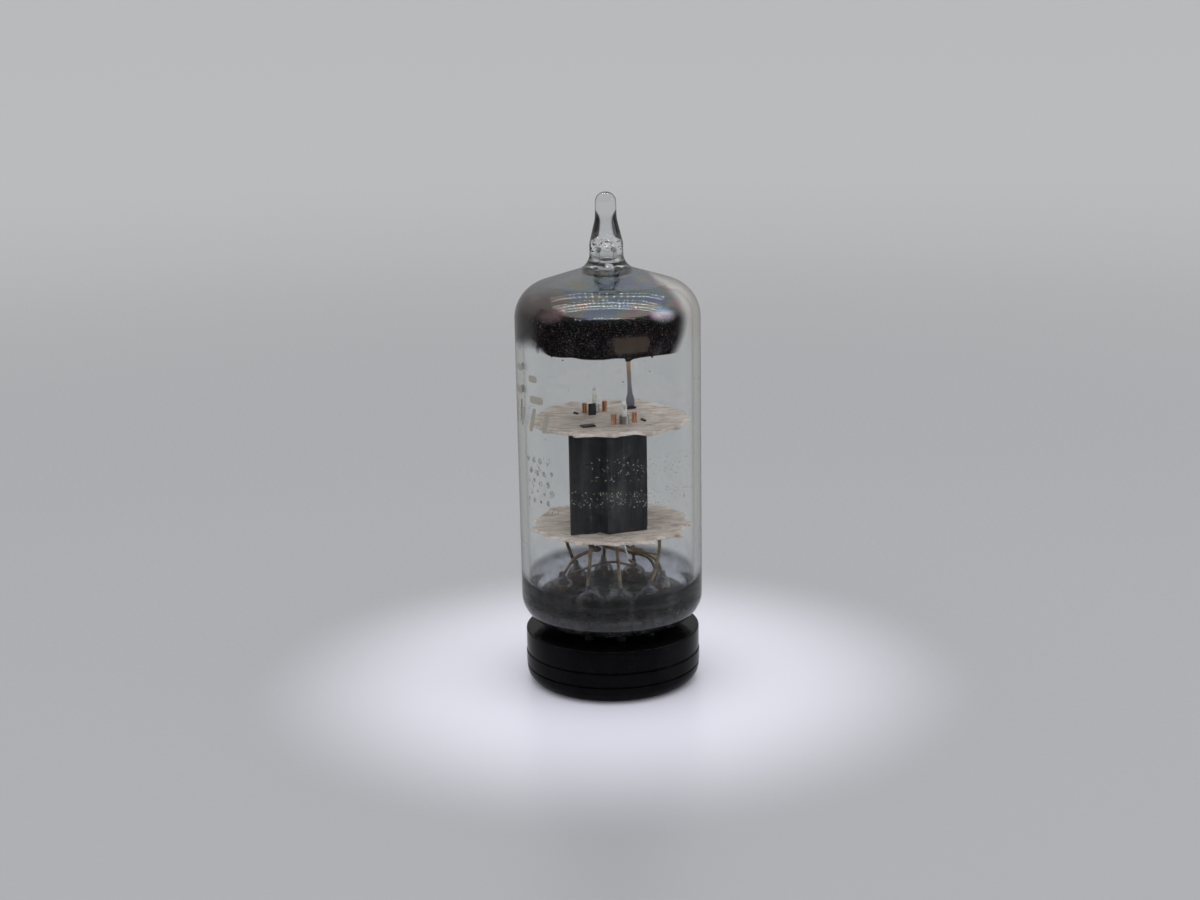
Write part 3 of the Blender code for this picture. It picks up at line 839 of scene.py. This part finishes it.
def make_posts(copper, sleeve):
    for label, _ in UNITS:
        for number in (1, 2):
            node = f"grid_rod_{label}_{number}"
            low, high = box_mm(node)
            outline = rounded([(0, high.z, 0), (ROD_R, high.z, 0.06), (ROD_R, low.z, 0.06), (0, low.z, 0)], 0.3)
            mesh = turned(f"grid_post_{label}_{number}", outline, 28, at=middle(node).xy)
            piece(mesh.name, mesh, copper, [node])
        node = f"cathode_{label}"
        low, high = box_mm(node)
        outer = radius_of(node)
        inner = outer - 0.11
        outline = [(outer, high.z - 0.05), (outer, low.z), (inner, low.z), (inner, high.z)]
        outline.append((outer - 0.03, high.z))
        mesh = turned(f"cathode_sleeve_{label}", outline, 36, closed=True, at=middle(node).xy)
        piece(mesh.name, mesh, sleeve, [node])


def make_heater_folds(mat):
    """The bare white folds of each heater standing out of its cathode."""
    for label, _ in UNITS:
        low, high = box_mm(f"cathode_{label}")
        centre = (low + high) / 2
        curve = bpy.data.curves.new(f"heater_folds_{label}", "CURVE")
        curve.dimensions = "3D"
        curve.bevel_depth = 0.065 * MM
        curve.bevel_resolution = 3
        for k, rise in enumerate((1.15, 0.85, 1.3, 0.7)):
            turn = 1.9 * k + 0.5
            offset = Vector((0.21 * cos(turn), 0.21 * sin(turn), 0))
            across = Vector((0.1 * cos(turn + 1.2), 0.1 * sin(turn + 1.2), 0))
            lean = Vector((0.12 * sin(3 * turn), 0, 0))
            top = high.z + rise
            spline = curve.splines.new("BEZIER")
            spots = (
                (offset - across, high.z - 0.7),
                (offset - across * 0.7 + lean * 0.5, top - 0.3),
                (offset + lean, top),
                (offset + across * 0.7 + lean * 0.5, top - 0.3),
                (offset + across, high.z - 0.7),
            )
            spline.bezier_points.add(len(spots) - 1)
            for point, (spot, z) in zip(spline.bezier_points, spots):
                point.co = Vector((centre.x + spot.x, centre.y + spot.y, z)) * MM
                point.handle_left_type = point.handle_right_type = "AUTO"
        piece(curve.name, curve, mat)


def add_block(bm, side, t, n, z):
    """A block between the two values of each of t, n and z."""
    sections = []
    for height in z:
        corners = ((t[0], n[0]), (t[1], n[0]), (t[1], n[1]), (t[0], n[1]))
        sections.append([cage(side, a, b, height) for a, b in corners])
    add_loft(bm, sections)


def make_plate_details(plate, stain):
    """Folded hem, seam and weld marks on each plate's wing."""
    low, high = LOWER_MICA_TOP + 0.12, box_mm("plate_front_inner")[1].z
    for label, side in UNITS:
        bm = bmesh.new()
        add_block(bm, side, (-6.22, -5.72), (PLATE_FACE_N, PLATE_FACE_N + 0.09), (low, high))
        add_block(bm, side, (-2.95, -2.8), (PLATE_FACE_N, PLATE_FACE_N + 0.07), (low + 6.6, high))
        add_block(bm, side, (-4.06, -3.96), (PLATE_FACE_N, PLATE_FACE_N + 0.05), (low + 4.6, low + 6.6))
        hems = piece(f"plate_folds_{label}", finish_mesh("folds", bm), plate)
        soften(hems, 0.035)
        weld = bmesh.new()
        facing = cage(side, 0, 1, 0).to_3d().normalized().to_track_quat("Z", "Y").to_matrix()
        for t, z, r in ((-4.2, low + 7.6, 0.42), (-4.2, low + 1.6, 0.3)):
            dish = [(0, 0.09, 0), (r * 0.7, 0.08, 0.3), (r, -0.02, 0.2), (r, -0.1, 0), (0, -0.1, 0)]
            spot = bmesh.new()
            add_turned(spot, rounded(dish, 0.3), 28)
            place = Matrix.Translation(cage(side, t, PLATE_FACE_N, z) * MM) @ facing.to_4x4()
            bmesh.ops.transform(spot, matrix=place, verts=spot.verts)
            spot.to_mesh(scratch := bpy.data.meshes.new("spot"))
            weld.from_mesh(scratch)
            bpy.data.meshes.remove(scratch)
            spot.free()
        piece(f"spot_welds_{label}", finish_mesh("welds", weld), plate)
    rust = bmesh.new()
    for t, z, size in ((-0.35, 18.95, 0.13), (0.4, 18.98, 0.17), (0.1, 19.1, 0.08), (-4.9, low + 7.6, 0.16)):
        n = 5.165 if t > -2 else PLATE_FACE_N
        add_block(rust, 1, (t - size, t + size), (n, n + 0.03), (z - size * 0.6, z + size * 0.6))
    specks = piece("plate_specks", finish_mesh("specks", rust), stain)
    soften(specks, 0.02)


def make_getter_parts(metal):
    """A flat strip with a flared foot on the mica, up to the getter channel."""
    low, high = box_mm("getter_strut")
    foot = Vector(((low.x + high.x) / 2 + 0.14, high.y - 0.22, UPPER_MICA_TOP + 0.01))
    top = Vector((low.x + 0.22, low.y + 0.22, high.z + 0.2))
    sections = []
    flare = ((0, 0.40), (0.04, 0.50), (0.12, 0.50), (0.22, 0.32), (0.36, 0.24), (0.7, 0.25), (1, 0.27))
    for share, half in flare:
        centre = foot.lerp(top, share)
        bow = Vector((0, 0.12 * sin(pi * share), 0))
        section = []
        for dx, dy in ((-half, -0.07), (half, -0.07), (half, 0.07), (-half, 0.07)):
            section.append(centre + bow + Vector((dx, dy, 0)))
        sections.append(section)
    bm = bmesh.new()
    add_loft(bm, sections)
    strip = piece("getter_strip", finish_mesh("getter_strip", bm), metal, ["getter_strut"])
    soften(strip, 0.05, 3)


def smooth_route(points, steps=8):
    """Points along a smooth curve through the given ones."""
    knots = [Vector(p) for p in points]
    padded = [2 * knots[0] - knots[1], *knots, 2 * knots[-1] - knots[-2]]
    route = []
    for a, b, c, d in zip(padded, padded[1:], padded[2:], padded[3:]):
        for k in range(steps):
            u = k / steps
            bend = (2 * a - 5 * b + 4 * c - d) * u**2 + (3 * b - a - 3 * c + d) * u**3
            route.append((2 * b + (c - a) * u + bend) / 2)
    return [*route, knots[-1]]


def make_wire(name, points, radius, mat, replaced):
    """A wire through points, a little uneven in thickness."""
    curve = bpy.data.curves.new(name, "CURVE")
    curve.dimensions = "3D"
    curve.bevel_depth = radius * MM
    curve.bevel_resolution = 4
    curve.use_fill_caps = True
    route = smooth_route(points)
    spline = curve.splines.new("POLY")
    spline.points.add(len(route) - 1)
    for knot, point in zip(spline.points, route):
        knot.co = (*(point * MM), 1)
        knot.radius = 1 + 0.12 * noise.noise(point * 1.3)
    piece(name, curve, mat, replaced)


def flipped(points):
    return [(-x, -y, z) for x, y, z in points]


def make_wires(wire, thin_wire, heater):
    """The leads from the pins, the cathode straps, and the heaters with the link between them."""
    tops = {
        1: [(-2.66, -5.22, 13.0), (-2.25, -4.92, 17.4)],
        2: [(0.9, -5.7, 12.4), (0.72, -4.9, 15.2), (0.5, -3.7, 17.4)],
        3: [(4.3, -4.1, 12.2), (4.95, -3.55, 14.2), (5.36, -3.05, 16.0), (5.36, -2.95, 18.2)],
    }
    routes = {number + 5: flipped(top) for number, top in tops.items()} | tops
    routes[4] = [(5.82, -0.98, 12.4), (5.1, -1.35, 14.3), (3.6, -2.2, 15.6), (2.42, -2.8, 16.3)]
    routes[5] = [(5.22, 2.68, 12.0), (4.2, 2.4, 13.6), (1.5, 1.9, 14.5), (-0.8, 1.7, 15.2)]
    routes[5] += [(-1.95, 2.1, 15.9), (-2.3, 2.72, 16.35)]
    routes[9] = [(-5.68, 1.02, 12.0), (-4.2, 1.7, 13.8), (-1.9, 2.4, 14.65)]
    for number, place in enumerate(PIN_PLACES, 1):
        route = [(*place, 9.06), (*place, 11.85), *routes[number]]
        make_wire(f"lead_wire_{number}", route, 0.2, wire, [f"lead_{number}"])
    link = [(-5.1, 1.0, 12.1), (-3.3, 1.1, 12.6), (-1.2, 1.3, 13.2), (0.4, 1.2, 13.4)]
    link += [(2.1, 0.5, 13.2), (2.7, -1.0, 13.8), (2.0, -2.35, 14.7)]
    make_wire("heater_link_wire", link, 0.15, wire, ["heater_link"])
    strap = [(5.08, -3.05, 15.5), (3.5, -3.3, 15.9), (2.2, -3.55, 16.4)]
    strap += [(1.64, -3.6, 17.0), (1.64, -3.45, 17.6)]
    for label, side in UNITS:
        route = strap if side > 0 else flipped(strap)
        make_wire(f"strap_wire_{label}", route, 0.12, thin_wire, [f"cathode_strap_{label}"])
        top = box_mm(f"heater_{label}")[1].z
        hub = cage(side, 0.35, 3.5, 0)
        legs = [hub + side * t * ALONG.to_3d() for t in (0.7, 0.2, 0.0, -0.2)]
        path = [(*legs[0].xy, 16.6), (*legs[1].xy, 17.4), (*legs[1].xy, 24), (*legs[1].xy, top - 0.5)]
        path += [(*legs[2].xy, top - 0.1), (*legs[3].xy, top - 0.5), (*legs[3].xy, 24), (*legs[3].xy, 17.4)]
        path += [(side * 1.9, side * -2.5, 15.0)]
        make_wire(f"heater_wire_{label}", path, 0.09, heater, [f"heater_{label}"])


def make_crimps(mat):
    """Crimped sheet round the plate leads' ends, and the flattened weld at the end of lead 9."""
    top = box_mm("lower_mica")[0].z - 0.02
    for label, side in UNITS:
        x, y = side * -2.25, side * -4.92
        outline = [(0, top, 0), (0.55, top, 0.1), (0.6, top - 0.35, 0.2)]
        outline += [(0.27, top - 1.25, 0.1), (0, top - 1.3, 0)]
        mesh = turned(f"plate_crimp_{label}", rounded(outline, 0.2), 20, at=(x, y))
        piece(mesh.name, mesh, mat)
    bm = bmesh.new()
    add_turned(bm, [(sin(pi * k / 14), cos(pi * k / 14)) for k in range(15)], 24)
    shape = Matrix.Translation(Vector((-1.75, 2.4, 14.65)) * MM) @ Matrix.Diagonal((0.6, 0.24, 0.38, 1))
    bmesh.ops.transform(bm, matrix=shape, verts=bm.verts)
    piece("heater_weld", finish_mesh("heater_weld", bm), mat)


def dress_cad_nodes(materials):
    """Materials and rounding for the CAD nodes that stay in view."""
    for name, obj in nodes.items():
        if obj.hide_render:
            continue
        for start, mat, rounding in materials:
            if not name.startswith(start):
                continue
            obj.data.materials.clear()
            obj.data.materials.append(mat)
            if rounding:
                soften(obj, rounding)
            break


# ---- worn print


def add_patch(bm, azimuth, z, half_width, half_height, lean, sides=14, power=4.0, jitter=None):
    """A small flat shape on the outside of the bulb. A higher power makes it squarer."""
    radius = BULB_R + 0.02
    rim = []
    for k in range(sides):
        angle = tau * k / sides
        c, s = cos(angle), sin(angle)
        reach = (abs(c) ** power + abs(s) ** power) ** (-1 / power)
        if jitter:
            reach *= jitter.uniform(0.6, 1.1)
        dx, dz = half_width * reach * c, half_height * reach * s
        dx, dz = dx + lean * dz, dz
        rim.append(bm.verts.new(round_place(azimuth + dx / radius, radius, z + dz) * MM))
    centre = bm.verts.new(round_place(azimuth, radius, z) * MM)
    for k in range(sides):
        bm.faces.new((rim[k], rim[(k + 1) % sides], centre))


def make_print(bars_mat, flecks_mat, haze_mat):
    """Abstract remains of rubbed print: slanted bars, a cluster of dots, and rows of scratched flecks."""
    bars = bmesh.new()
    for z, azimuth, width, height, lean in (
        (37.5, -70, 0.9, 0.36, 0.0),
        (36.6, -53, 0.75, 0.38, 0.0),
        (34.9, -72, 1.0, 0.40, 0.0),
        (34.3, -50, 1.15, 0.42, 0.0),
        (32.3, -78, 0.34, 1.35, 0.2),
        (32.1, -66, 0.34, 1.1, 0.3),
        (32.0, -54, 0.36, 1.35, 0.3),
        (31.9, -42, 0.36, 1.1, 0.3),
    ):
        add_patch(bars, radians(azimuth), z, width, height, lean, 24, 5)
    piece("print_bars", finish_mesh("print_bars", bars), bars_mat)
    draw = random.Random(5)
    dots = bmesh.new()
    for row in range(5):
        for k in range(4):
            azimuth = radians(-60 + 6.2 * k + 3.1 * (row % 2))
            size = draw.uniform(0.16, 0.36)
            add_patch(dots, azimuth, 27.4 - 1.15 * row + draw.uniform(-0.15, 0.15), size, size * 1.15, 0, 16, 2)
    for k in range(26):
        azimuth = radians(draw.uniform(-64, -32))
        width, height = draw.uniform(0.04, 0.09), draw.uniform(0.2, 0.7)
        add_patch(dots, azimuth, draw.uniform(22.0, 28.5), width, height, draw.uniform(-1.2, 1.2), 8, 2, draw)
    piece("print_dots", finish_mesh("print_dots", dots), haze_mat)
    flecks = bmesh.new()
    for z, height, first, last, clumps in ((27.3, 1.3, -7, 62, 9), (23.9, 0.95, -22, 58, 12)):
        for clump in range(clumps):
            middle_az = first + (last - first) * clump / (clumps - 1)
            for _ in range(draw.randint(10, 26)):
                azimuth = radians(middle_az + draw.gauss(0, 2.8))
                width = draw.uniform(0.03, 0.1)
                tall = draw.uniform(0.03, 0.13)
                place_z = z + draw.uniform(-height, height)
                add_patch(flecks, azimuth, place_z, width, tall, draw.uniform(-0.6, 0.6), 8, 2, draw)
    piece("print_flecks", finish_mesh("print_flecks", flecks), flecks_mat)


def make_dust(mat):
    """A few dark specks on the glass."""
    draw = random.Random(11)
    specks = bmesh.new()
    for _ in range(34):
        size = draw.uniform(0.035, 0.1)
        azimuth = draw.uniform(-pi, pi)
        add_patch(specks, azimuth, draw.uniform(15, 41), size, size * draw.uniform(0.7, 1.4), 0, 8, 2, draw)
    piece("dust_specks", finish_mesh("dust_specks", specks), mat)


# ---- stage, lamps and camera


def make_stage():
    """The floor: a near disc, and a wide dish that curves up behind everything."""
    mat = floor_material()
    dish = rounded([(NEAR_FLOOR_R, 0, 0), (DISH_R, 0, DISH_BEND), (DISH_R, DISH_TOP, 0)], 0.1)
    for name, outline in (("floor_near", [(0, 0), (NEAR_FLOOR_R, 0)]), ("floor_far", dish)):
        floor = link_new(name, turned(name, outline, 96))
        floor.data.materials.append(mat)
        if name == "floor_far":
            floor.visible_diffuse = False
            floor.visible_shadow = False


def make_lamp_dots():
    """Rows of small lamps on a frame over the object, seen only as reflections."""
    mat, tree, _, output = new_material("lamp_dots")
    glow = add(tree, "Emission", inputs={"Color": (1, 0.98, 0.96, 1), "Strength": 26.0}).outputs[0]
    give(output.inputs["Surface"], glow)
    bm = bmesh.new()
    for y, z, reach in ((130, 300, 12), (-10, 300, 19), (-60, 300, 19), (-110, 300, 18), (-258, 200, 14)):
        for k in range(-reach, reach + 1):
            x = 17 * (k + 0.25 * (y // 50 % 2))
            ring = []
            for j in range(10):
                angle = tau * j / 10
                dx, dy = 3.0 * cos(angle), 3.0 * sin(angle)
                ring.append(bm.verts.new(Vector((x + dx, y + dy, z)) * MM))
            bm.faces.new(ring)
    dots = link_new("lamp_dots", finish_mesh("lamp_dots", bm))
    dots.data.materials.append(mat)
    dots.visible_camera = False
    dots.visible_diffuse = False
    dots.visible_shadow = False


def make_lamp(name, place, target, size, power):
    data = bpy.data.lights.new(name, "AREA")
    data.shape = "ELLIPSE"
    data.size, data.size_y = size[0] * MM, size[1] * MM
    data.energy = power
    lamp = link_new(name, data)
    lamp.location = Vector(place) * MM
    lamp.rotation_euler = (Vector(target) - Vector(place)).to_track_quat("-Z", "Y").to_euler()
    lamp.visible_glossy = False
    lamp.visible_transmission = False


def make_world():
    """Even light all round. Mirrors see a white light box whose front is open, and so dark."""
    world = bpy.data.worlds.new("light_box")
    world.use_nodes = True
    bpy.context.scene.world = world
    tree = world.node_tree
    way = add(tree, "TexCoord").outputs["Generated"]
    _, behind, above = axes_of(tree, way)
    front = product(tree, behind, -1.0)
    opening = product(tree, remap(tree, front, -0.38, 0.0), remap(tree, above, 0.56, 0.46))
    height = remap(tree, above, -0.3, 1.0, smooth=False)
    walls = ramp(tree, height, (0.0, 0.32), (0.3, 0.34), (0.6, 0.58), (1.0, 0.48))
    path = add(tree, "LightPath")
    through = calc(tree, "GREATER_THAN", path.outputs["Transmission Depth"], 0.5)
    dark = mix_colour(tree, through, (0.032, 0.032, 0.036), (0.10, 0.10, 0.105))
    box = mix_colour(tree, opening, walls, dark)
    for spot, colour in ((RIGHT_SPOT, (1.7, 1.75, 1.85)), (LEFT_SPOT, (0.62, 0.5, 0.56))):
        facing = {0: way, 1: spot}
        near = add(tree, "VectorMath", {"operation": "DOT_PRODUCT"}, facing).outputs["Value"]
        box = mix_colour(tree, remap(tree, near, 0.93, 0.995), box, colour)
    mirrored = calc(tree, "GREATER_THAN", path.outputs["Glossy Depth"], 0.5)
    shade = mix_colour(tree, mirrored, (0.86, 0.86, 0.87), box)
    tree.links.new(shade, tree.nodes["Background"].inputs["Color"])


def make_camera():
    data = bpy.data.cameras.new("camera")
    data.lens = CAMERA_LENS
    data.clip_start, data.clip_end = 0.01, 20
    camera = link_new("camera", data)
    camera.location = Vector(CAMERA_PLACE) * MM
    pitch = Matrix.Rotation(pi / 2 - CAMERA_DOWN, 3, "X")
    roll = Matrix.Rotation(CAMERA_ROLL, 3, "Z")
    camera.rotation_euler = (pitch @ roll).to_euler()
    bpy.context.scene.camera = camera


def main():
    bpy.context.scene.view_settings.view_transform = "Standard"
    make_camera()
    make_world()
    make_stage()
    make_lamp_dots()
    make_lamp("top_lamp", (0, -40, 320), (0, 0, 20), (320, 160), 0.22)
    make_lamp("left_lamp", (-300, -60, 160), (0, 0, 25), (80, 110), 0.015)
    make_lamp("right_lamp", (300, -60, 160), (0, 0, 25), (150, 190), 0.06)

    # The dark rim colours and the stem glass's smoky tint given here are painted shade.
    clear = glass_material("lamp_glass", 0.05, (0.72, 1.0), (0.06, 0.063, 0.07), (0.23, 0.24, 0.255))
    tip_glass = glass_material("tip_glass", 0.03, (0.45, 0.85), (0.008, 0.009, 0.010))
    plate = plate_material()
    copper = metal_material("copper_rod", (0.36, 0.14, 0.07), (0.88, 0.52, 0.34), 0.35, (1, 1, 0.08), 3.5, 0.55)
    sleeve = metal_material("sleeve_nickel", (0.30, 0.28, 0.26), (0.52, 0.50, 0.47), 0.4)
    browns = (0.17, 0.12, 0.08), (0.40, 0.31, 0.21)
    wire = metal_material("lead_wire_brown", *browns, 0.4, (1, 1, 1), 0.8, 0.75, 0.6)
    getter = metal_material("getter_brown", (0.30, 0.16, 0.09), (0.50, 0.42, 0.38), 0.4, (1, 1, 0.4), 0.5)
    strip = strip_material()
    heater = metal_material("heater_coat", (0.62, 0.61, 0.58), (0.85, 0.84, 0.82), 0.7, (1, 1, 1), 2, 0.0)
    crimp = metal_material("crimp_dark", (0.05, 0.04, 0.04), (0.13, 0.10, 0.09), 0.5, (1, 1, 1), 2, 0.5)
    rust = metal_material("rust_speck", (0.07, 0.015, 0.012), (0.14, 0.03, 0.02), 0.7, (1, 1, 1), 3, 0.0)

    make_bulb(clear)
    make_tip(tip_glass)
    # The stem core's near-black stops are painted shade; the oxide stops are the seals' own colour.
    shade_core_stops = ((0.35, (0.006, 0.006, 0.007)), (0.6, (0.022, 0.023, 0.026)), (0.75, (0.05, 0.05, 0.05)))
    oxide = ((0.35, (0.008, 0.007, 0.005)), (0.5, (0.04, 0.028, 0.012)), (0.68, (0.11, 0.030, 0.012)))
    make_stem_core(smoky_material("stem_shade_core_glass", shade_core_stops, 0.8), smoky_material("stem_oxide", oxide, 1.0))
    make_seals(seal_material())
    make_film(mirror_material())
    make_guard(plastic_material())
    make_pins(pin_material())
    mica = mica_material()
    make_mica("lower_mica_disc", "lower_mica", 3.0, mica)
    make_mica("upper_mica_disc", "upper_mica", 7.0, mica)
    make_posts(copper, sleeve)
    make_heater_folds(heater)
    make_plate_details(plate, rust)
    make_getter_parts(strip)
    make_crimps(crimp)
    make_wires(wire, wire, heater)
    dress_cad_nodes(
        (
            ("plate_", plate, 0.05),
            ("grid_winding", sleeve, 0),
            ("getter_channel", getter, 0.05),
        )
    )
    make_print(
        ink_material("ink_bars", (0.30, 0.285, 0.245), 0.66),
        ink_material("ink_flecks", (0.33, 0.315, 0.26), 0.54, 6.0),
        ink_material("ink_haze", (0.22, 0.22, 0.22), 0.52),
    )
    make_dust(ink_material("dust_dark", (0.05, 0.045, 0.04), 0.8))


main()
